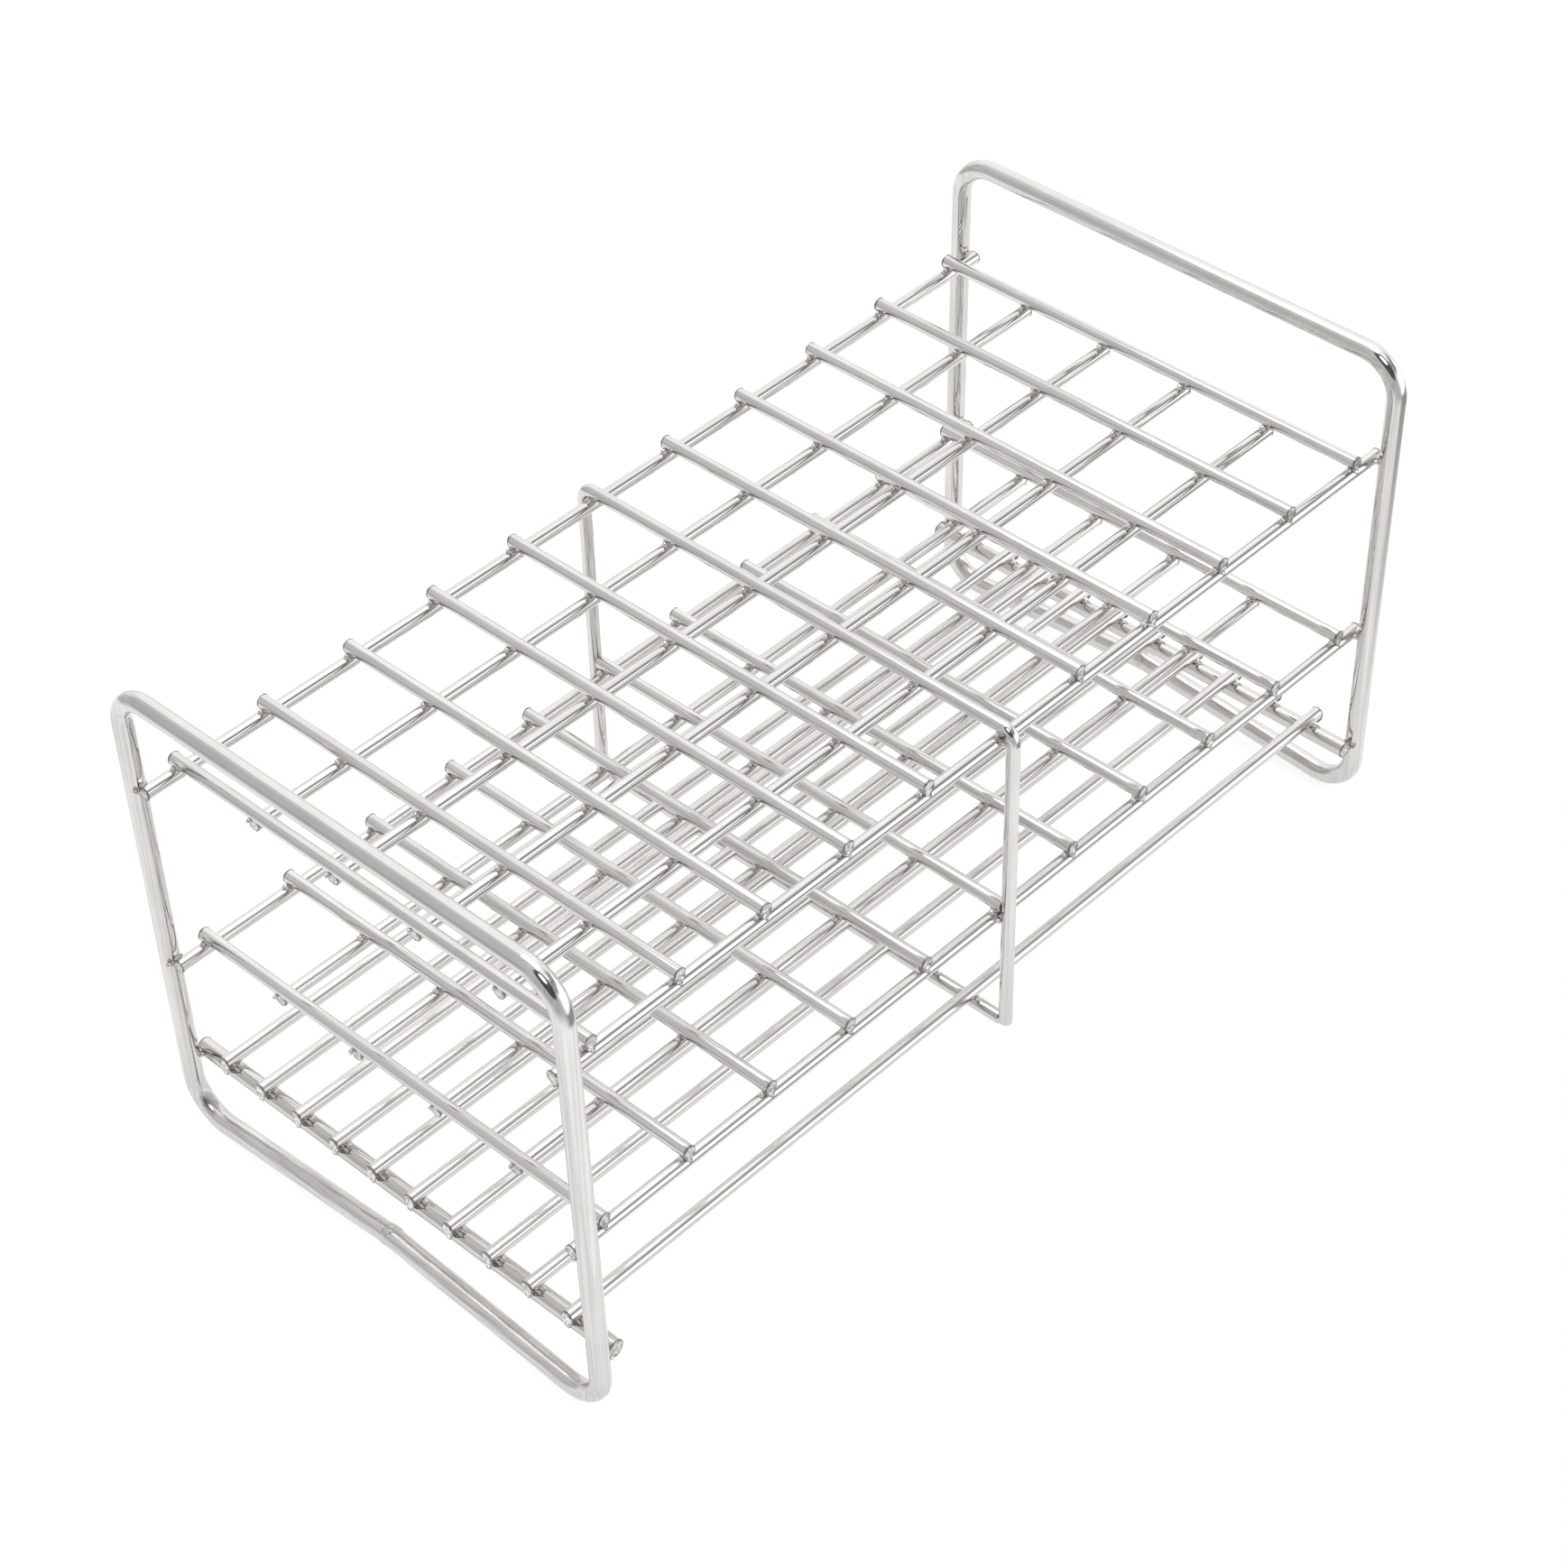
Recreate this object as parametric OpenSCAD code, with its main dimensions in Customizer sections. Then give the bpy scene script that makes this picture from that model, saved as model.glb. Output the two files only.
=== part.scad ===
// Welded wire rack for test tubes. Three tiers of round wire are held between two closed end frames,
// and a bent wire stands across the middle. X runs along the rack, Y across it, and Z = 0 is the table.

/* [Tube cells] */
// Number of cells along the rack, an even number so that one cross wire is in the middle
columns = 10; // [6:2:12]
// Number of cells across the rack
rows = 5; // [3:1:5]
// Distance between the axes of neighbouring cross wires
column_pitch = 23; // [18:0.5:30]
// Distance between the axes of neighbouring lengthwise wires
row_pitch = 22.8; // [18:0.2:30]
// Distance between the axes of the bottom tier's lengthwise wires
floor_wire_pitch = 11.3; // [8:0.1:11.3]

/* [Wire sizes] */
// Diameter of the wire of all three tiers and of the centre support
grid_wire_d = 3; // [2:0.1:3.6]
// Diameter of the rod of the end frames
frame_rod_d = 4.5; // [4:0.1:6]
// Diameter of the crossbars that carry the bottom tier
crossbar_d = 4; // [3:0.1:5]

/* [Heights] */
// Height of the axes of the top tier's cross wires
top_tier_h = 97.5; // [85:0.5:105]
// Height of the axes of the middle tier's cross wires
middle_tier_h = 49.5; // [40:0.5:65]
// Height of the axes of the bottom tier's wires
floor_wire_h = 20; // [18:0.1:24]
// Overall height of the end frames before they are leaned outwards
frame_h = 122; // [115:0.5:150]

/* [End frames] */
// Radius of the frame's corners at the rod's axis
corner_r = 9; // [6:0.5:14]
// Lean of each end frame away from the middle, in degrees
frame_lean = 1; // [0:0.1:2]
// Rise of the frame's bottom bar towards the butt weld, as a fraction of the bar's length
bar_rise = 0.07584; // [0:0.0001:0.09]
// Gap along the rack between a frame's bottom bar and the axis of the first cross wire
end_bay = 4.25; // [4:0.25:10]

/* [Wire ends] */
// How far a cross wire reaches past the axis of the outermost lengthwise wire
cross_end = 1; // [0:0.1:1.5]
// How far an inner lengthwise wire reaches past the axis of the last cross wire
long_end = 0.4; // [0:0.1:2]
// How far an outermost lengthwise wire reaches past the axis of the upright that it is welded to
side_end = 0.8; // [0:0.1:3]
// How far a bottom tier wire reaches past the axis of its crossbar
floor_end = 2.8; // [0:0.1:3]
// How far a crossbar reaches past the axis of the upright that it is welded to
crossbar_end = 0.4; // [0:0.1:3]

/* [Hidden] */
$fn = 64;
steel_bright = [0.86, 0.86, 0.85];
steel_satin = [0.80, 0.79, 0.77];
steel_dark = [0.70, 0.69, 0.67];

grid_r = grid_wire_d / 2;
frame_r = frame_rod_d / 2;
floor_wires = 2 * rows;
middle_column = columns / 2;

// Half spans between wire axes
half_length = columns * column_pitch / 2;
half_width = rows * row_pitch / 2;

// The uprights and the centre support's legs lie against the outer sides of the outermost wires
upright_y = half_width + grid_r + frame_r;
leg_y = half_width + grid_wire_d;
// The centre support is bent round the outermost wires of the top tier
bend_r = leg_y - half_width;

// The bottom bars lie level with frame_r at their lowest, and the top bars at handle_rise above that
frame_base_x = half_length + frame_r + end_bay;
handle_rise = frame_h - frame_rod_d;
bar_rise_angle = asin(bar_rise);
bar_straight = (upright_y - corner_r - corner_r * sin(bar_rise_angle)) / cos(bar_rise_angle);

// The crossbars lie against the inner sides of the leaning uprights
crossbar_h = floor_wire_h - grid_r - crossbar_d / 2;
crossbar_x = frame_x(crossbar_h) - (frame_r + crossbar_d / 2) / cos(frame_lean);
foot_bar_h = floor_wire_h - grid_wire_d;

sides = ["left", "right"];

// X of an end frame's plane at height h
function frame_x(h) = frame_base_x + (h - frame_r) * tan(frame_lean);
// The middle cross wire of the top tier is the centre support's own top
function top_cross_columns() = [for (i = [0:columns]) if (i != middle_column) i];
function column_x(i) = (i - middle_column) * column_pitch;
function row_y(i) = (i - rows / 2) * row_pitch;
function floor_wire_y(i) = (i - (floor_wires - 1) / 2) * floor_wire_pitch;
function side_sign(side) = side == "left" ? -1 : 1;

// A straight round wire, centred on the origin
module wire_along_x(length, diameter) {
    rotate([0, 90, 0])
        cylinder(h = length, d = diameter, center = true);
}

module wire_along_y(length, diameter) {
    rotate([90, 0, 0])
        cylinder(h = length, d = diameter, center = true);
}

// A bend in the YZ plane about the origin, from +Y round towards -Z
module wire_bend(radius, diameter, angle) {
    rotate([90, 0, 90])
        rotate([0, 0, -angle])
            rotate_extrude(angle = angle)
                translate([radius, 0])
                    circle(d = diameter);
}

// Half of a closed end frame standing in the YZ plane, on the +Y side
module half_frame() {
    corner_y = upright_y - corner_r;
    // Half of the handle
    translate([0, corner_y / 2, handle_rise])
        wire_along_y(corner_y, frame_rod_d);
    // Top corner
    translate([0, corner_y, handle_rise - corner_r])
        mirror([0, 0, 1])
            wire_bend(corner_r, frame_rod_d, 90);
    // Upright
    translate([0, upright_y, corner_r])
        cylinder(h = handle_rise - 2 * corner_r, d = frame_rod_d);
    // Bottom corner, bent a little past square
    translate([0, corner_y, corner_r])
        wire_bend(corner_r, frame_rod_d, 90 + bar_rise_angle);
    // Half of the bottom bar, cut square at the butt weld
    intersection() {
        translate([0, corner_y, corner_r])
            rotate([-bar_rise_angle, 0, 0])
                translate([0, 0, -corner_r])
                    rotate([90, 0, 0])
                        cylinder(h = bar_straight + frame_rod_d, d = frame_rod_d);
        translate([-frame_rod_d, 0, -frame_rod_d])
            cube([2 * frame_rod_d, corner_y, 2 * corner_r + bar_straight]);
    }
}

// One rod bent into a closed frame, leaned away from the middle about its bottom bar
module end_frame(side) {
    color(steel_satin)
        translate([side_sign(side) * frame_base_x, 0, frame_r])
            rotate([0, side_sign(side) * frame_lean, 0])
                union() {
                    half_frame();
                    mirror([0, 1, 0]) half_frame();
                }
}

// One leg of the centre support and the bend above it, on the +Y side. The leg is cut off at the foot bar.
module centre_leg() {
    leg_top_h = top_tier_h - bend_r;
    translate([0, half_width, leg_top_h])
        mirror([0, 0, 1])
            wire_bend(bend_r, grid_wire_d, 90);
    translate([0, leg_y, foot_bar_h])
        cylinder(h = leg_top_h - foot_bar_h, d = grid_wire_d);
}

// One grid wire bent into a U, standing open side down across the middle
module centre_support() {
    color(steel_bright)
        union() {
            translate([0, 0, top_tier_h])
                wire_along_y(2 * half_width, grid_wire_d);
            centre_leg();
            mirror([0, 1, 0]) centre_leg();
        }
}

// Carries the bottom tier between the centre support's legs
module centre_foot_bar() {
    color(steel_bright)
        translate([0, 0, foot_bar_h])
            wire_along_y(2 * (leg_y - grid_r), grid_wire_d);
}

module bottom_crossbar(side) {
    color(steel_dark)
        translate([side_sign(side) * crossbar_x, 0, crossbar_h])
            wire_along_y(2 * (upright_y + crossbar_end), crossbar_d);
}

// Lengthwise wire i of a tier whose cross wires lie at tier_h. The outermost two reach the uprights.
module long_wire(i, tier_h) {
    wire_h = tier_h - grid_wire_d;
    outermost = i == 0 || i == rows;
    reach = outermost ? frame_x(wire_h) + side_end : half_length + long_end;
    color(steel_bright)
        translate([0, row_y(i), wire_h])
            wire_along_x(2 * reach, grid_wire_d);
}

// Cross wire i of a tier. The middle one ends at the inner sides of the centre support's legs.
module cross_wire(i, tier_h) {
    reach = i == middle_column ? leg_y - grid_r : half_width + cross_end;
    color(steel_bright)
        translate([column_x(i), 0, tier_h])
            wire_along_y(2 * reach, grid_wire_d);
}

module bottom_long_wire(i) {
    color(steel_bright)
        translate([0, floor_wire_y(i), floor_wire_h])
            wire_along_x(2 * (crossbar_x + floor_end), grid_wire_d);
}

for (side = sides) {
    end_frame(side);
    bottom_crossbar(side);
}
centre_support();
centre_foot_bar();
for (i = [0:rows]) {
    long_wire(i, top_tier_h);
    long_wire(i, middle_tier_h);
}
for (i = top_cross_columns())
    cross_wire(i, top_tier_h);
for (i = [0:columns])
    cross_wire(i, middle_tier_h);
for (i = [0:floor_wires - 1])
    bottom_long_wire(i);
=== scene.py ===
import math
import random
import bpy
from mathutils import Euler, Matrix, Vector, noise


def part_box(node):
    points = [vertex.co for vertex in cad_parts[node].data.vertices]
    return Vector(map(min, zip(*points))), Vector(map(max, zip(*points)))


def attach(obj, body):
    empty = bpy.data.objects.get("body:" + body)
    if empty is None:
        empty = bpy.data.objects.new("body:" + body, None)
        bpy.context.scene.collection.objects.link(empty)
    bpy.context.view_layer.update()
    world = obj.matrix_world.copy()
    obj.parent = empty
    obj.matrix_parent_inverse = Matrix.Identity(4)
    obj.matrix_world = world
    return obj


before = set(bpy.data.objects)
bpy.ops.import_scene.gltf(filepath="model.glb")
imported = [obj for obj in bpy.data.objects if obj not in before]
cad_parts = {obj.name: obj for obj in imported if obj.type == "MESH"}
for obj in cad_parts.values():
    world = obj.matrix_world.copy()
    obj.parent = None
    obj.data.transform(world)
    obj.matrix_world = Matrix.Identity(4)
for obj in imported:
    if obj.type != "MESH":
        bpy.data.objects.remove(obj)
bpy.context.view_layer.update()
print("frame loaded:", len(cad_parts), "wires and frames")

random.seed(7)
xAxis, yAxis, zAxis = Vector((1, 0, 0)), Vector((0, 1, 0)), Vector((0, 0, 1))


def middle(node):
    low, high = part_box(node)
    return (low + high) / 2


def radiusOf(node, axis):
    low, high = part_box(node)
    return (high[axis] - low[axis]) / 2


tierNames = ["top", "middle"]
longNodes = {t: [f"{t}_long_wire_{i}" for i in range(1, 7)] for t in tierNames}
crossNodes = {t: [f"{t}_cross_wire_{i}" for i in range(1, 12)] for t in tierNames}
crossNodes["top"][5] = "centre_support"      # its top takes the place of the middle cross wire
floorNodes = [f"bottom_long_wire_{i}" for i in range(1, 11)]
wireR = radiusOf("top_long_wire_2", 2)
barR = radiusOf("bottom_crossbar_left", 2)
frameR = 1.5 * wireR                          # the frame's rod is half as thick again as the wire
crossH = {"top": middle("top_cross_wire_1").z, "middle": middle("middle_cross_wire_1").z}
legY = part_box("centre_support")[1].y - wireR
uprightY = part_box("end_frame_left")[1].y - frameR


def nodeTree(material):
    material.use_nodes = True
    tree = material.node_tree
    return tree, tree.nodes["Principled BSDF"]


def addNode(tree, kind, **values):
    made = tree.nodes.new(kind)
    for key, value in values.items():
        setattr(made, key, value)
    return made


def mathNode(tree, operation, first, second=None):
    made = addNode(tree, "ShaderNodeMath", operation=operation)
    for slot, value in enumerate([first, second]):
        if value is None:
            continue
        if isinstance(value, (int, float)):
            made.inputs[slot].default_value = value
        else:
            tree.links.new(value, made.inputs[slot])
    return made.outputs[0]


def stretchedNoise(tree, place, stretch, scale, detail):
    mapping = addNode(tree, "ShaderNodeMapping")
    mapping.inputs["Scale"].default_value = stretch
    tree.links.new(place, mapping.inputs["Vector"])
    made = addNode(tree, "ShaderNodeTexNoise")
    made.inputs["Scale"].default_value = scale
    made.inputs["Detail"].default_value = detail
    tree.links.new(mapping.outputs["Vector"], made.inputs["Vector"])
    return made.outputs["Fac"]


def mapRange(tree, value, start, end, low, high):
    made = addNode(tree, "ShaderNodeMapRange")
    for slot, number in (("From Min", start), ("From Max", end), ("To Min", low), ("To Max", high)):
        made.inputs[slot].default_value = number
    tree.links.new(value, made.inputs["Value"])
    return made.outputs["Result"]


def mixFloat(tree, factor, first, second):
    made = addNode(tree, "ShaderNodeMix", data_type="FLOAT")
    tree.links.new(factor, made.inputs[0])
    tree.links.new(first, made.inputs[2])
    tree.links.new(second, made.inputs[3])
    return made.outputs[0]


def colourRamp(tree, factor, stops):
    stops = list(stops)
    made = addNode(tree, "ShaderNodeValToRGB")
    band = made.color_ramp
    while len(band.elements) < len(stops):
        band.elements.new(0.5)
    for element, (position, colour) in zip(band.elements, stops):
        element.position = position
        element.color = (*colour, 1)
    tree.links.new(factor, made.inputs["Fac"])
    return made.outputs["Color"]


drawnWire = {
    "pale": (0.715, 0.70, 0.684),
    "dull": (0.605, 0.592, 0.574),
    "colourRange": (0.36, 0.60),      # where the noise turns from dull to pale
    "smooth": 0.05,                   # roughness of the polished lines
    "rough": 0.12,                    # roughness of the drawn lines
    "roughRange": (0.35, 0.7),
    "lineScale": 1500.0,              # drawing lines across a metre of wire width
    "lineDetail": 1.5,
    "lineDepth": 0.0000016,
    "bumpStrength": 0.5,
    "cloudScale": 90.0,
    "cloudDetail": 4.0,
    "cloudShare": 0.25,               # share of the clouds in the colour, the lines have the rest
}
# a texture's stretch, which draws its lines out along the wire
alongX, alongY, alongZ, evenly = (0.0015, 1, 1), (1, 0.0015, 1), (1, 1, 0.0015), (1, 1, 1)
bendZone = (0.005, 0.002)      # where the lines turn from the top bar into an upright part, inside its axis
footZone = (0.010, 0.018)      # heights between which the scuffs on the feet end


def addBump(tree, shader, height, strength, distance):
    bump = addNode(tree, "ShaderNodeBump")
    bump.inputs["Strength"].default_value = strength
    bump.inputs["Distance"].default_value = distance
    tree.links.new(height, bump.inputs["Height"])
    tree.links.new(bump.outputs["Normal"], shader.inputs["Normal"])


def drawnSteel(name, look, runs, upright=None):
    # upright is half the distance between a bent rod's two upright parts
    material = bpy.data.materials.new(name)
    tree, shader = nodeTree(material)
    place = addNode(tree, "ShaderNodeTexCoord").outputs["Object"]
    lines = stretchedNoise(tree, place, runs, look["lineScale"], look["lineDetail"])
    if upright:
        parts = addNode(tree, "ShaderNodeSeparateXYZ")
        tree.links.new(place, parts.inputs[0])
        sideways = mathNode(tree, "ABSOLUTE", parts.outputs["Y"])
        onLeg = mapRange(tree, sideways, upright - bendZone[0], upright - bendZone[1], 0, 1)
        upLines = stretchedNoise(tree, place, alongZ, look["lineScale"], look["lineDetail"])
        lines = mixFloat(tree, onLeg, lines, upLines)
    clouds = stretchedNoise(tree, place, evenly, look["cloudScale"], look["cloudDetail"])
    lineShare = mathNode(tree, "MULTIPLY", lines, 1 - look["cloudShare"])
    blend = mathNode(tree, "ADD", lineShare, mathNode(tree, "MULTIPLY", clouds, look["cloudShare"]))
    colour = colourRamp(tree, blend, zip(look["colourRange"], (look["dull"], look["pale"])))
    tree.links.new(colour, shader.inputs["Base Color"])
    rough = mapRange(tree, lines, *look["roughRange"], look["smooth"], look["rough"])
    if "footRough" in look:
        scuffed = mapRange(tree, parts.outputs["Z"], *footZone, look["footRough"], 0)
        rough = mathNode(tree, "MAXIMUM", rough, scuffed)
    tree.links.new(rough, shader.inputs["Roughness"])
    addBump(tree, shader, lines, look["bumpStrength"], look["lineDepth"])
    shader.inputs["Metallic"].default_value = 1.0
    return material


longWire = dict(drawnWire, smooth=0.07, rough=0.15)
lowWire = dict(drawnWire, smooth=0.14, rough=0.24)      # worn duller by the tubes
crossWire = dict(drawnWire, dull=(0.57, 0.557, 0.54), lineDepth=0.0000026)
frameRod = dict(drawnWire, dull=(0.58, 0.566, 0.548), lineDepth=0.0000028, footRough=0.24)
crossbarRod = dict(drawnWire, pale=(0.66, 0.645, 0.62), dull=(0.53, 0.515, 0.49))
steelLong = drawnSteel("drawnWireLengthwise", longWire, alongX)
steelLow = drawnSteel("drawnWireWorn", lowWire, alongX)
steelCross = drawnSteel("drawnWireCrosswise", crossWire, alongY)
steelFrame = drawnSteel("drawnFrameRod", frameRod, alongY, uprightY)
steelSupport = drawnSteel("drawnSupportWire", drawnWire, alongY, legY)
steelCrossbar = drawnSteel("drawnCrossbarRod", crossbarRod, alongY)

beadLook = {
    "colours": [(0.62, 0.595, 0.57), (0.74, 0.72, 0.70), (0.85, 0.835, 0.82)],
    "colourRange": (0.36, 0.48, 0.62),
    "grain": 900.0,
    "grainDetail": 3.0,
    "lumps": 0.000008,
    "bumpStrength": 0.6,
    "roughness": 0.24,
}
cutLook = dict(
    beadLook,
    colours=[(0.36, 0.345, 0.33), (0.58, 0.565, 0.55), (0.74, 0.73, 0.715)],
    grain=1400.0,
    lumps=0.00003,
)


def weldSteel(name, look):
    # lumpy metal, its colour multiplied point by point by the mesh's painted shade and painted highlight
    material = bpy.data.materials.new(name)
    tree, shader = nodeTree(material)
    place = addNode(tree, "ShaderNodeTexCoord").outputs["Object"]
    grain = stretchedNoise(tree, place, evenly, look["grain"], look["grainDetail"])
    colour = colourRamp(tree, grain, zip(look["colourRange"], look["colours"]))
    shaded = addNode(tree, "ShaderNodeVectorMath", operation="SCALE")
    tree.links.new(colour, shaded.inputs[0])
    paintedShading = addNode(tree, "ShaderNodeAttribute", attribute_name="paintedShading")
    tree.links.new(paintedShading.outputs["Fac"], shaded.inputs["Scale"])
    tree.links.new(shaded.outputs[0], shader.inputs["Base Color"])
    addBump(tree, shader, grain, look["bumpStrength"], look["lumps"])
    shader.inputs["Metallic"].default_value = 1.0
    shader.inputs["Roughness"].default_value = look["roughness"]
    return material


beadSteel = weldSteel("weldBead", beadLook)
cutSteel = weldSteel("shearedEnd", cutLook)

for node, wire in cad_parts.items():
    if node in floorNodes + longNodes["middle"]:
        finish = steelLow
    elif "long_wire" in node:
        finish = steelLong
    elif "crossbar" in node:
        finish = steelCrossbar
    elif node.startswith("end_frame"):
        finish = steelFrame
    elif node == "centre_support":
        finish = steelSupport
    else:
        finish = steelCross
    wire.data.materials.clear()
    wire.data.materials.append(finish)
print("steel finishes on", len(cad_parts), "nodes")


class Lump:
    # points and faces of many small closed shapes that make one piece, and the painted shade or painted
    # highlight on each point
    def __init__(self):
        self.points, self.faces, self.paintedShadings = [], [], []

    def ringTube(self, rings, paintedShading):
        # a tube closed on itself through all its rings
        base, count, around = len(self.points), len(rings), len(rings[0])
        self.paintedShadings += [paintedShading] * count * around
        for ring in rings:
            self.points.extend(ring)
        for i in range(count):
            for j in range(around):
                a, b = base + i * around, base + (i + 1) % count * around
                self.faces.append((a + j, b + j, b + (j + 1) % around, a + (j + 1) % around))

    def dome(self, rings, tip, tail, paintedShadings=None):
        # rings closed by a point at each end, the painted shade goes ring by ring
        base, around = len(self.points), len(rings[0])
        for paintedShading in paintedShadings or [1.0] * len(rings):
            self.paintedShadings += [paintedShading] * around
        self.paintedShadings += [1.0, 1.0]
        outwards = (rings[0][1] - rings[0][0]).cross(rings[0][2] - rings[0][1]).dot(tip - tail)
        for ring in rings:
            self.points.extend(ring if outwards > 0 else ring[::-1])
        self.points += [tip, tail]
        last = base + (len(rings) - 1) * around
        for i in range(len(rings) - 1):
            for j in range(around):
                a, b = base + i * around, base + (i + 1) * around
                self.faces.append((a + j, a + (j + 1) % around, b + (j + 1) % around, b + j))
        for j in range(around):
            self.faces.append((base + (j + 1) % around, base + j, len(self.points) - 1))
            self.faces.append((last + j, last + (j + 1) % around, len(self.points) - 2))

    def piece(self, name, material, slotName):
        mesh = bpy.data.meshes.new(name)
        mesh.from_pydata([tuple(p) for p in self.points], [], self.faces)
        mesh.shade_smooth()
        # each point's painted shade or painted highlight, which the weld materials multiply into their
        # colour
        mesh.attributes.new("paintedShading", "FLOAT", "POINT").data.foreach_set("value", self.paintedShadings)
        mesh.materials.append(material)
        made = bpy.data.objects.new(name, mesh)
        bpy.context.scene.collection.objects.link(made)
        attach(made, "root")


bead = {
    "reach": 0.62,               # middle of the ring of weld metal, as a share of the wire's radius
    "reachUneven": 0.25,
    "thick": 0.20,               # its thickness, as a share of the wire's radius
    "thickUneven": 0.30,
    "lumpSize": 0.9,
    "drop": 0.5,                 # extra thickness on top of the lower wire
    "overlap": 0.35,             # how deep the ring sinks into both wires, as a share of its thickness
    "ringPaintedShade": 0.80,           # painted shade on the ring, darker than the balls to draw a dark outline; 1 is the plain bead colour
    "around": 16,
    "section": 8,
}
ball = {
    "radius": 0.40,              # of the drop squeezed out at each side, as a share of the wire's radius
    "radiusSpread": (0.85, 1.15),
    "out": 1.08,                 # how far out it sits, as a share of the wire's radius
    "outSpread": (0.92, 1.08),
    "up": 0.12,                  # how far towards the upper wire, as a share of the wire's radius
    "uneven": 0.3,
    "rings": 6,
    "around": 12,
}


def someShift():
    return Vector([random.uniform(0, 50) for _ in range(3)])


def circleAt(turn, share=0.0):
    return Vector((math.cos(turn), math.sin(turn), share))


def addBall(lump, centre, radius, up):
    side = up.orthogonal().normalized()
    other = up.cross(side)
    shift = someShift()
    rings = []
    for i in range(1, ball["rings"] + 1):
        lap = math.pi * i / (ball["rings"] + 1)
        ring = []
        for j in range(ball["around"]):
            turn = math.tau * j / ball["around"]
            out = (side * math.cos(turn) + other * math.sin(turn)) * math.sin(lap) - up * math.cos(lap)
            ring.append(centre + out * radius * (1 + ball["uneven"] * noise.noise(shift + out)))
        rings.append(ring)
    lump.dome(rings, centre + up * radius, centre - up * radius)


def addBead(lump, contact, along, across, upR, lowR, size):
    # a ring of weld metal round the contact of two wires: the upper runs along, the lower runs across
    up = along.cross(across)
    small = min(upR, lowR)
    shift = someShift()
    rings = []
    for i in range(bead["around"]):
        turn = math.tau * i / bead["around"]
        lumpy = noise.noise(shift + circleAt(turn) * bead["lumpSize"])
        reach = small * bead["reach"] * size * (1 + bead["reachUneven"] * lumpy)
        thick = small * bead["thick"] * size * (1 + bead["thickUneven"] * lumpy)
        thick *= 1 + bead["drop"] * math.sin(turn) ** 4      # a round drop on the lower wire, either side
        out = along * math.cos(turn) + across * math.sin(turn)
        ring = []
        for j in range(bead["section"]):
            lap = math.tau * j / bead["section"]
            r = reach + thick * math.cos(lap)
            a, b = r * math.cos(turn), r * math.sin(turn)
            ceiling = upR - math.sqrt(max(upR**2 - b**2, 0))
            ground = -(lowR - math.sqrt(max(lowR**2 - a**2, 0)))
            half = (ceiling - ground) / 2 + thick * bead["overlap"]
            ring.append(contact + out * r + up * ((ceiling + ground) / 2 + half * math.sin(lap)))
        rings.append(ring)
    # the ring gets painted shade, darker than the balls, as a dark outline
    lump.ringTube(rings, bead["ringPaintedShade"])
    for way in (-1, 1):
        out = across * way * small * ball["out"] * random.uniform(*ball["outSpread"]) * size
        radius = small * ball["radius"] * random.uniform(*ball["radiusSpread"]) * size
        addBall(lump, contact + out + up * small * ball["up"], radius, up)


# how large the weld is in each place, and where two numbers stand it is anywhere between them
beadSize = {
    "tier": (0.9, 1.15),
    "floor": (0.85, 1.05),
    "upright": (1.0, 1.2),
    "centre": 1.0,
    "crossbar": 0.68,
}
uprightInset = 0.0008      # from the side wire's end to the weld on the upright
beadCount = 0
for tier in tierNames:
    lump = Lump()
    sideWire = longNodes[tier][0]
    for crossNode in crossNodes[tier]:
        for longNode in longNodes[tier]:
            here = Vector((middle(crossNode).x, middle(longNode).y, crossH[tier] - wireR))
            addBead(lump, here, yAxis, -xAxis, wireR, wireR, random.uniform(*beadSize["tier"]))
            beadCount += 1
    sideH, reach = middle(sideWire).z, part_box(sideWire)[1].x - uprightInset
    for side in (-1, 1):
        for end in (-1, 1):
            here = Vector((end * reach, side * (legY - wireR), sideH))
            addBead(lump, here, zAxis, xAxis * side, frameR, wireR, random.uniform(*beadSize["upright"]))
        here = Vector((0, side * (legY - wireR), sideH))
        addBead(lump, here, zAxis, xAxis * side, wireR, wireR, beadSize["centre"])
        beadCount += 3
    lump.piece(f"{tier}_tier_welds", beadSteel, "grid_wire")

lump = Lump()
for floorNode in floorNodes:
    for bar in ("bottom_crossbar_left", "centre_foot_bar", "bottom_crossbar_right"):
        here = Vector((middle(bar).x, middle(floorNode).y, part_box(bar)[1].z))
        addBead(lump, here, xAxis, yAxis, wireR, radiusOf(bar, 2), random.uniform(*beadSize["floor"]))
        beadCount += 1
for bar, end in (("bottom_crossbar_left", -1), ("bottom_crossbar_right", 1)):
    for side in (-1, 1):
        here = Vector((middle(bar).x + end * barR, side * uprightY, middle(bar).z))
        addBead(lump, here, zAxis, -yAxis * end, frameR, barR, beadSize["crossbar"])
        beadCount += 1
lump.piece("bottom_tier_welds", beadSteel, "grid_wire")
print("weld beads:", beadCount)


cutEnd = {
    "proud": 0.00016,       # height of the burr, in metres
    "uneven": 0.05,
    "heightUneven": 0.9,
    "lumpSize": 1.4,
    "around": 18,
    # each ring's reach as a share of the wire's radius, its height as a share of the burr's, and its
    # painted shade, darkest on the rim
    "profile": [
        (0.98, -1.6, 0.45), (1.05, -1.0, 0.45), (1.05, 0.3, 0.45),
        (0.96, 1.0, 0.45), (0.86, 0.45, 0.9), (0.45, 0.35, 1.0),
    ],
}


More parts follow.
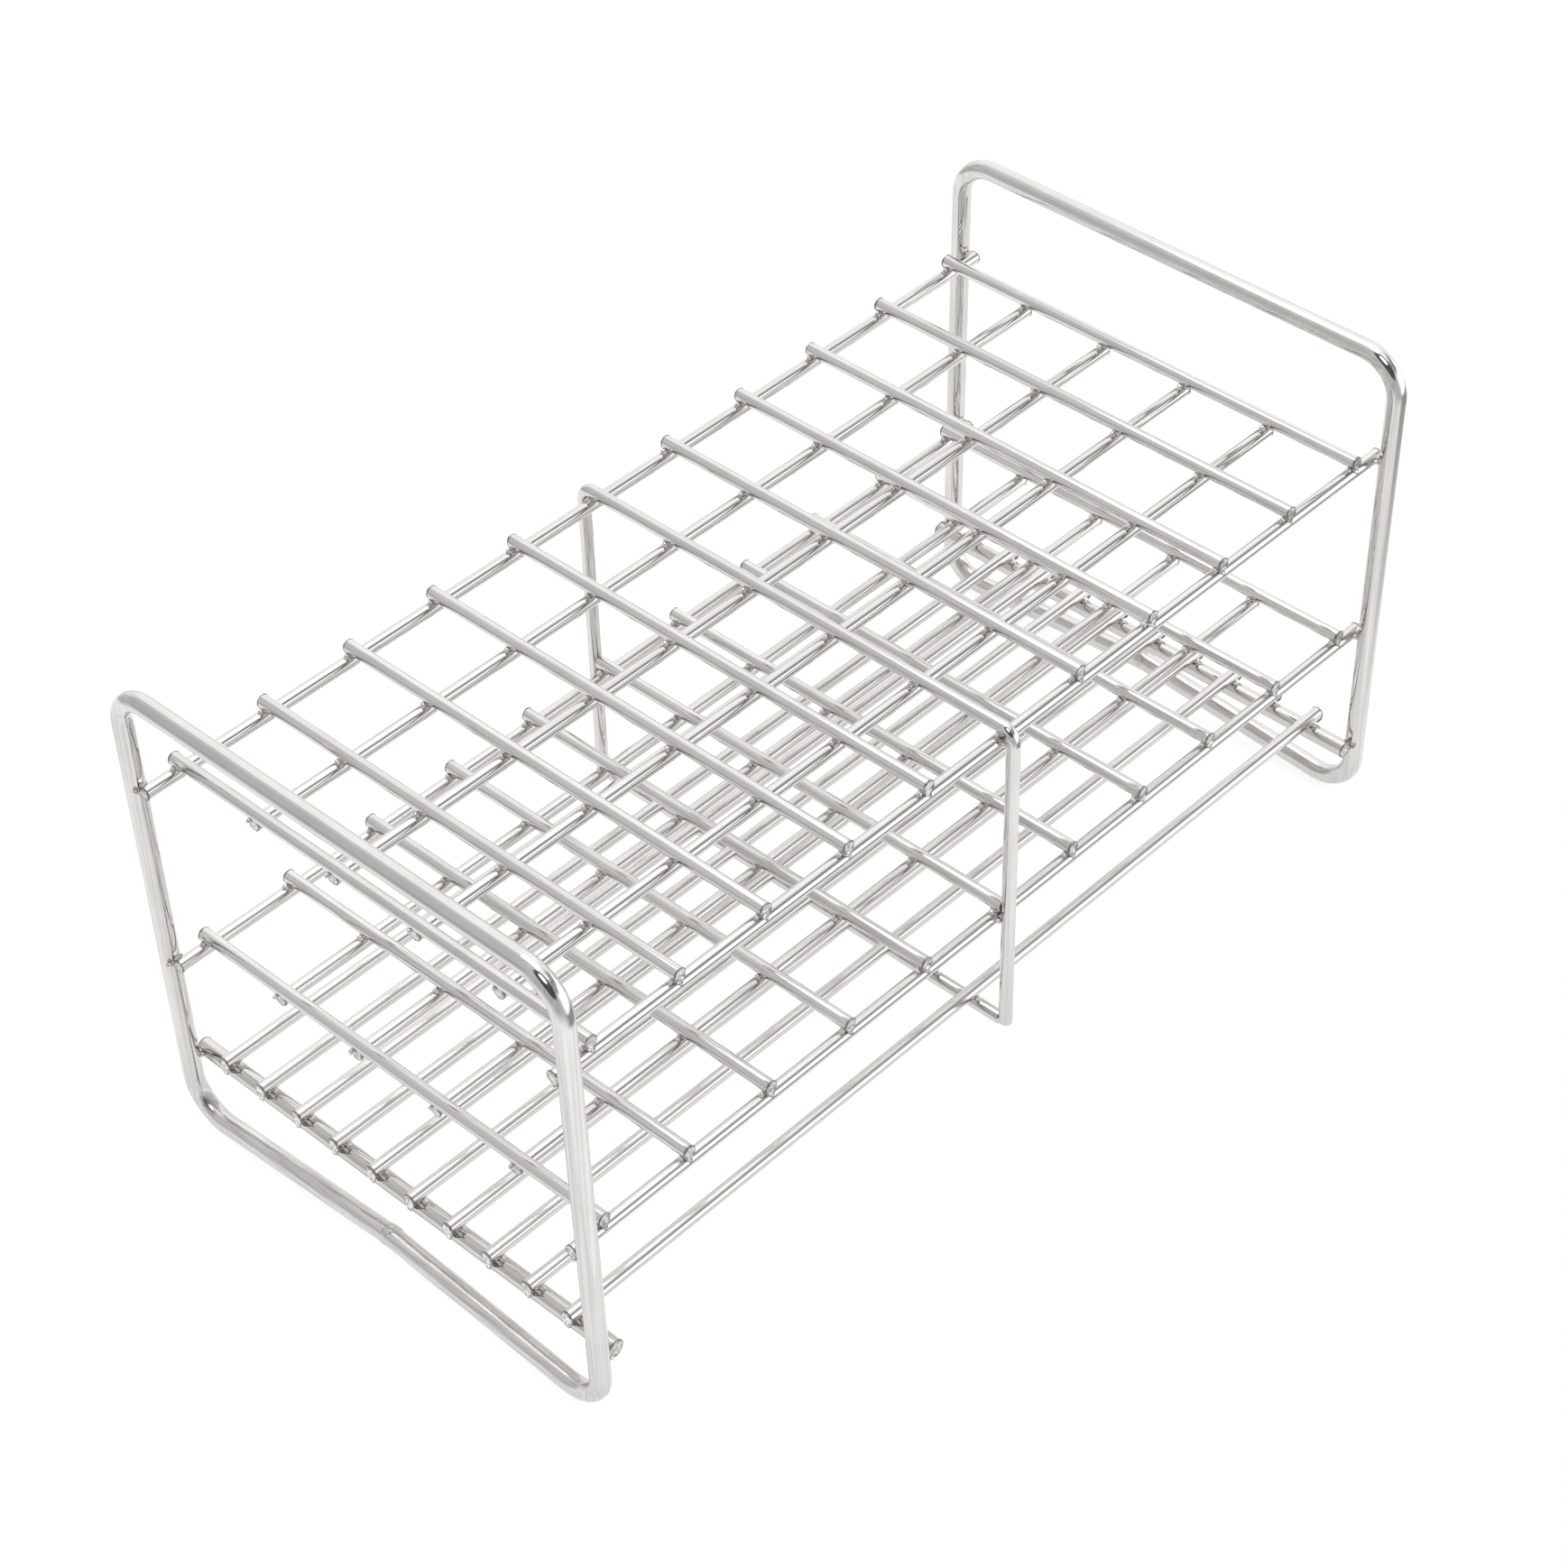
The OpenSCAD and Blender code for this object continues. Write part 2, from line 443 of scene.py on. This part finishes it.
def addCutEnd(lump, centre, outward, radius):
    # a sheared end with a rolled burr round it, set over the flat end of a wire
    side = outward.orthogonal().normalized()
    other = outward.cross(side)
    shift = someShift()
    rings = []
    for reach, height, _ in cutEnd["profile"]:
        ring = []
        for j in range(cutEnd["around"]):
            turn = math.tau * j / cutEnd["around"]
            lumpy = noise.noise(shift + circleAt(turn, reach) * cutEnd["lumpSize"])
            r = radius * reach * (1 + (cutEnd["uneven"] * lumpy if height > 0 else 0))
            lift = cutEnd["proud"] * height * (1 + cutEnd["heightUneven"] * lumpy)
            ring.append(centre + side * r * math.cos(turn) + other * r * math.sin(turn) + outward * lift)
        rings.append(ring)
    tip, tail = centre + outward * cutEnd["proud"] * 0.3, centre - outward * radius * 0.3
    # painted shade on the rim rings, plain colour in the middle
    lump.dome(rings, tip, tail, [paintedShading for _, _, paintedShading in cutEnd["profile"]])


lump = Lump()
for node in sum(longNodes.values(), []) + floorNodes:
    low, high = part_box(node)
    mid = middle(node)
    addCutEnd(lump, Vector((low.x, mid.y, mid.z)), -xAxis, wireR)
    addCutEnd(lump, Vector((high.x, mid.y, mid.z)), xAxis, wireR)
for node in ("bottom_crossbar_left", "bottom_crossbar_right"):
    low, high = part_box(node)
    mid = middle(node)
    addCutEnd(lump, Vector((mid.x, low.y, mid.z)), -yAxis, barR)
    addCutEnd(lump, Vector((mid.x, high.y, mid.z)), yAxis, barR)
lump.piece("sheared_ends", cutSteel, "grid_wire")

tongue = {
    "halfWidth": 0.72,      # this and the next three as shares of the wire's radius
    "top": 0.35,
    "bottom": 0.95,
    "low": 0.75,            # how far its middle sits under the wire's axis
    "proud": 0.00030,       # how far it swells over the wire below, in metres
    "uneven": 0.15,
    "swellUneven": 0.7,
    "lumpSize": 1.3,
    "taper": 0.35,          # how much narrower its lower edge is
    # painted shading inside the pressed end and painted shade on its rim, as multipliers of its colour
    "paintedShading": 1.0,
    "rimPaintedShade": 0.55,
    "rings": 6,
    "around": 18,
}
# the bottom tier's wires are pressed wider, and their pressed ends get a painted highlight, colour times
# 1.22 inside
lip = dict(tongue, halfWidth=0.98, top=1.25, bottom=1.75, low=0.35, proud=0.00045, paintedShading=1.22)


def addTongue(lump, endFace, outward, under, underR, look):
    # metal pressed out of a wire's end, down over the wire that it is welded to
    along = outward.cross(zAxis)
    shift = someShift()
    centre = endFace - zAxis * wireR * look["low"]
    axisReach = (under - endFace).dot(outward)
    rings = []
    for k in range(look["rings"]):
        share = 1 - k / look["rings"]
        ring = []
        for j in range(look["around"]):
            turn = math.tau * j / look["around"]
            rise = math.sin(turn)
            lumpy = noise.noise(shift + circleAt(turn, share) * look["lumpSize"])
            taper = 1 if rise > 0 else 1 - look["taper"] * rise**2
            wide = wireR * look["halfWidth"] * (1 + look["uneven"] * lumpy) * taper
            tall = wireR * (look["top"] if rise > 0 else look["bottom"]) * (1 + look["uneven"] * lumpy)
            z = centre.z + tall * share * rise
            drop = min(abs(z - under.z) / underR, 1)
            bulge = axisReach + underR * math.sqrt(1 - drop**2)
            swell = math.sqrt(1 - share**2 * 0.98) * (1 + look["swellUneven"] * lumpy) - 0.15
            lift = max(0, bulge) + look["proud"] * swell
            spot = endFace + along * wide * share * math.cos(turn) + outward * lift
            ring.append(Vector((spot.x, spot.y, z)))
        rings.append(ring)
    tip = sum(rings[-1], Vector()) / look["around"] + outward * 0.00003
    # painted shade on the outer rings; inside, the plain colour or, on the lips, a painted highlight
    inside = look["paintedShading"]
    paintedShadings = [look["rimPaintedShade"], 0.9 * inside] + [inside] * (look["rings"] - 2)
    lump.dome(rings, tip, centre - outward * wireR * 0.6, paintedShadings)


lump = Lump()
for tier in tierNames:
    for crossNode in crossNodes[tier]:
        if crossNode in ("centre_support", "middle_cross_wire_6"):
            continue
        low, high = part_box(crossNode)
        firstWire, lastWire = longNodes[tier][0], longNodes[tier][-1]
        for endY, outward, sideNode in ((low.y, -yAxis, firstWire), (high.y, yAxis, lastWire)):
            endFace = Vector((middle(crossNode).x, endY, crossH[tier]))
            side = Vector((endFace.x, middle(sideNode).y, middle(sideNode).z))
            addCutEnd(lump, endFace, outward, wireR)
            addTongue(lump, endFace, outward, side, wireR, tongue)
for node in floorNodes:
    low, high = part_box(node)
    for endX, outward, side in ((low.x, -xAxis, "left"), (high.x, xAxis, "right")):
        bar = f"bottom_crossbar_{side}"
        endFace = Vector((endX, middle(node).y, middle(node).z))
        under = Vector((middle(bar).x, endFace.y, middle(bar).z))
        addTongue(lump, endFace, outward, under, barR, lip)
lump.piece("pressed_wire_ends", cutSteel, "grid_wire")
print("wire ends finished")


buttWeld = {
    "halfWidth": 0.0011,
    "proud": 0.00014,
    "uneven": 0.6,
    "proudUneven": 1.2,
    "lumpSize": 1.6,
    "around": 28,
    # each ring's place across the weld and its height, both as shares, the last one inside the rod
    "profile": [(-1, -0.6), (-0.7, 0.5), (0, 1), (0.7, 0.5), (1, -0.6), (0, -3)],
}
dressedStrip = {
    "length": 0.026,
    "halfWidth": 0.0016,
    "proud": 0.00012,
    "fall": 4.35,           # how steeply the bottom bar falls away from its weld, in degrees
    "outShare": 0.8,        # the flat faces outwards and down
    "downShare": 0.6,
    "rings": 5,
    "around": 24,
}


def addButtWeld(lump, centre):
    shift = someShift()
    rings = []
    for along, lift in buttWeld["profile"]:
        ring = []
        for j in range(buttWeld["around"]):
            turn = math.tau * j / buttWeld["around"]
            lumpy = noise.noise(shift + circleAt(turn, along * 0.4) * buttWeld["lumpSize"])
            r = frameR + buttWeld["proud"] * (lift + (buttWeld["proudUneven"] * lumpy if lift > 0 else 0))
            y = buttWeld["halfWidth"] * along * (1 + buttWeld["uneven"] * lumpy)
            ring.append(centre + Vector((r * math.cos(turn), y, r * math.sin(turn))))
        rings.append(ring)
    # the butt weld gets the same painted shade as the bead rings
    lump.ringTube(rings, bead["ringPaintedShade"])


def addDressedStrip(lump, start, outward):
    # a flat filed along the lower outer side of the bar, from the weld towards -Y
    fall = math.radians(dressedStrip["fall"])
    along = Vector((0, -math.cos(fall), -math.sin(fall)))
    face = outward * dressedStrip["outShare"] - zAxis * dressedStrip["downShare"]
    face = (face - along * face.dot(along)).normalized()
    across = along.cross(face)
    rings = []
    for k in range(dressedStrip["rings"]):
        share = 1 - k / dressedStrip["rings"]
        ring = []
        for j in range(dressedStrip["around"]):
            turn = math.tau * j / dressedStrip["around"]
            a = dressedStrip["halfWidth"] * share * math.sin(turn)
            lift = math.sqrt(frameR**2 - a**2) + dressedStrip["proud"] * (0.9 - share**4 * 1.4)
            run = dressedStrip["length"] / 2 * (1 + share * math.cos(turn))
            ring.append(start + along * run + across * a + face * lift)
        rings.append(ring)
    tip = sum(rings[-1], Vector()) / dressedStrip["around"]
    lump.dome(rings, tip, tip - face * frameR * 0.5)


lump, strips = Lump(), Lump()
for node, outward in (("end_frame_left", -xAxis), ("end_frame_right", xAxis)):
    rod = [v.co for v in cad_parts[node].data.vertices]
    joint = [co for co in rod if abs(co.y) < 0.0001 and co.z < 0.05]      # the bottom bar's middle section
    centre = sum(joint, Vector()) / len(joint)
    addButtWeld(lump, centre)
    addDressedStrip(strips, centre, outward)
lump.piece("butt_welds", beadSteel, "frame_rod")
strips.piece("dressed_strips", steelFrame, "frame_rod")
print("butt welds made")


studioFloor = {
    "from": (-0.26, -0.10),
    "to": (0.55, 0.55),
    "colour": 0.36,
    "roughness": 0.9,
    "glow": 0.78,       # to the camera
    "shine": 0.72,      # in reflections
}
floorMesh = bpy.data.meshes.new("floor")
(x0, y0), (x1, y1) = studioFloor["from"], studioFloor["to"]
floorMesh.from_pydata([(x0, y0, 0), (x1, y0, 0), (x1, y1, 0), (x0, y1, 0)], [], [(0, 1, 2, 3)])
floor = bpy.data.objects.new("floor", floorMesh)
bpy.context.scene.collection.objects.link(floor)
floorPaint = bpy.data.materials.new("paleFloor")
tree, shader = nodeTree(floorPaint)
shader.inputs["Base Color"].default_value = (*[studioFloor["colour"]] * 3, 1)
shader.inputs["Roughness"].default_value = studioFloor["roughness"]
shader.inputs["Specular IOR Level"].default_value = 0.0
path = addNode(tree, "ShaderNodeLightPath")
seen = mathNode(tree, "MAXIMUM", path.outputs["Is Camera Ray"], path.outputs["Is Transmission Ray"])
seen = mathNode(tree, "MULTIPLY", seen, studioFloor["glow"])
mirrored = mathNode(tree, "MULTIPLY", path.outputs["Is Glossy Ray"], studioFloor["shine"])
glow = addNode(tree, "ShaderNodeEmission")
tree.links.new(mathNode(tree, "ADD", seen, mirrored), glow.inputs["Strength"])
both = addNode(tree, "ShaderNodeAddShader")
tree.links.new(shader.outputs[0], both.inputs[0])
tree.links.new(glow.outputs[0], both.inputs[1])
tree.links.new(both.outputs[0], tree.nodes["Material Output"].inputs["Surface"])
floorMesh.materials.append(floorPaint)
print("floor laid")

# each wall is a list of heights, from 0 straight down to 1 straight up, and how bright the room is there
room = {
    "north": [(0.0, 1.2), (0.40, 1.15), (0.5, 0.95), (0.58, 1.1), (0.66, 1.25), (0.8, 1.30)],
    "south": [
        (0.0, 1.2), (0.17, 1.2), (0.21, 0.38), (0.36, 0.38), (0.42, 1.7),
        (0.71, 1.7), (0.76, 0.42), (0.89, 0.42), (0.93, 1.38),
    ],
    "west": [
        (0.0, 1.2), (0.17, 1.2), (0.30, 0.85), (0.40, 0.60),
        (0.50, 0.62), (0.64, 0.67), (0.86, 0.77), (0.96, 0.85),
    ],
    "southEdge": (0.05, -0.35),      # where the north wall turns into the south wall, along Y
    "westEdge": (0.28, -0.24),       # where both turn into the west wall, along X
    "strength": 2.0,
}
darkSpot = {"direction": (-0.516, -0.494, 0.700), "edge": (0.82, 0.89), "colour": (0.05, 0.05, 0.052, 1)}
brightSpot = {"direction": (-0.40, -0.38, 0.834), "edge": (0.976, 0.989), "colour": (1.6, 1.6, 1.6, 1)}

world = bpy.data.worlds.new("studio")
bpy.context.scene.world = world
world.use_nodes = True
tree = world.node_tree
outlook = addNode(tree, "ShaderNodeTexCoord").outputs["Generated"]
parts = addNode(tree, "ShaderNodeSeparateXYZ")
tree.links.new(outlook, parts.inputs[0])
height = mapRange(tree, parts.outputs["Z"], -1, 1, 0, 1)


def wall(stops):
    return colourRamp(tree, height, [(place, (bright / room["strength"],) * 3) for place, bright in stops])


def towards(socket, start, end):
    made = addNode(tree, "ShaderNodeMapRange", interpolation_type="SMOOTHSTEP")
    made.inputs["From Min"].default_value = start
    made.inputs["From Max"].default_value = end
    tree.links.new(socket, made.inputs["Value"])
    return made.outputs["Result"]


def mixColour(factor, first, second):
    made = addNode(tree, "ShaderNodeMix", data_type="RGBA")
    tree.links.new(factor, made.inputs["Factor"])
    for slot, value in (("A", first), ("B", second)):
        socket = [s for s in made.inputs if s.name == slot and s.type == "RGBA"][0]
        if isinstance(value, tuple):
            socket.default_value = value
        else:
            tree.links.new(value, socket)
    return [s for s in made.outputs if s.type == "RGBA"][0]


def addSpot(before, spot):
    facing = addNode(tree, "ShaderNodeVectorMath", operation="DOT_PRODUCT")
    tree.links.new(outlook, facing.inputs[0])
    facing.inputs[1].default_value = spot["direction"]
    return mixColour(towards(facing.outputs["Value"], *spot["edge"]), before, spot["colour"])


south = towards(parts.outputs["Y"], *room["southEdge"])
west = towards(parts.outputs["X"], *room["westEdge"])
around = mixColour(south, wall(room["north"]), wall(room["south"]))
around = mixColour(west, around, wall(room["west"]))
around = addSpot(addSpot(around, darkSpot), brightSpot)
path = addNode(tree, "ShaderNodeLightPath")
roomLight = tree.nodes["Background"]
tree.links.new(around, roomLight.inputs["Color"])
roomLight.inputs["Strength"].default_value = room["strength"]
plain = addNode(tree, "ShaderNodeBackground")
plain.inputs["Color"].default_value = (1, 1, 1, 1)
plain.inputs["Strength"].default_value = 1.0
pick = addNode(tree, "ShaderNodeMixShader")
shown = mathNode(tree, "MAXIMUM", path.outputs["Is Camera Ray"], path.outputs["Is Transmission Ray"])
tree.links.new(shown, pick.inputs[0])
tree.links.new(roomLight.outputs[0], pick.inputs[1])
tree.links.new(plain.outputs[0], pick.inputs[2])
tree.links.new(pick.outputs[0], tree.nodes["World Output"].inputs["Surface"])

softbox = {"size": 0.9, "energy": 3.2, "location": (0.15, 0.2, 1.3), "turn": (-8, 6, 0)}
lampData = bpy.data.lights.new("softbox", "AREA")
lampData.shape = "SQUARE"
lampData.size = softbox["size"]
lampData.energy = softbox["energy"]
lamp = bpy.data.objects.new("softbox", lampData)
lamp.location = softbox["location"]
lamp.rotation_euler = Euler([math.radians(a) for a in softbox["turn"]])
bpy.context.scene.collection.objects.link(lamp)
bpy.context.scene.view_settings.view_transform = "Standard"
print("studio lit")

viewpoint = {
    "lens": 85.618,
    "sensor": 36,
    "clip": (0.01, 20),
    "location": (-0.42761, -0.40955, 0.57965),
    "turn": (48.0818, 1.1108, -47.0232),
}
cameraData = bpy.data.cameras.new("camera")
cameraData.lens = viewpoint["lens"]
cameraData.sensor_width = viewpoint["sensor"]
cameraData.clip_start, cameraData.clip_end = viewpoint["clip"]
camera = bpy.data.objects.new("camera", cameraData)
camera.location = viewpoint["location"]
camera.rotation_euler = Euler([math.radians(a) for a in viewpoint["turn"]])
bpy.context.scene.collection.objects.link(camera)
bpy.context.scene.camera = camera
print("camera placed")
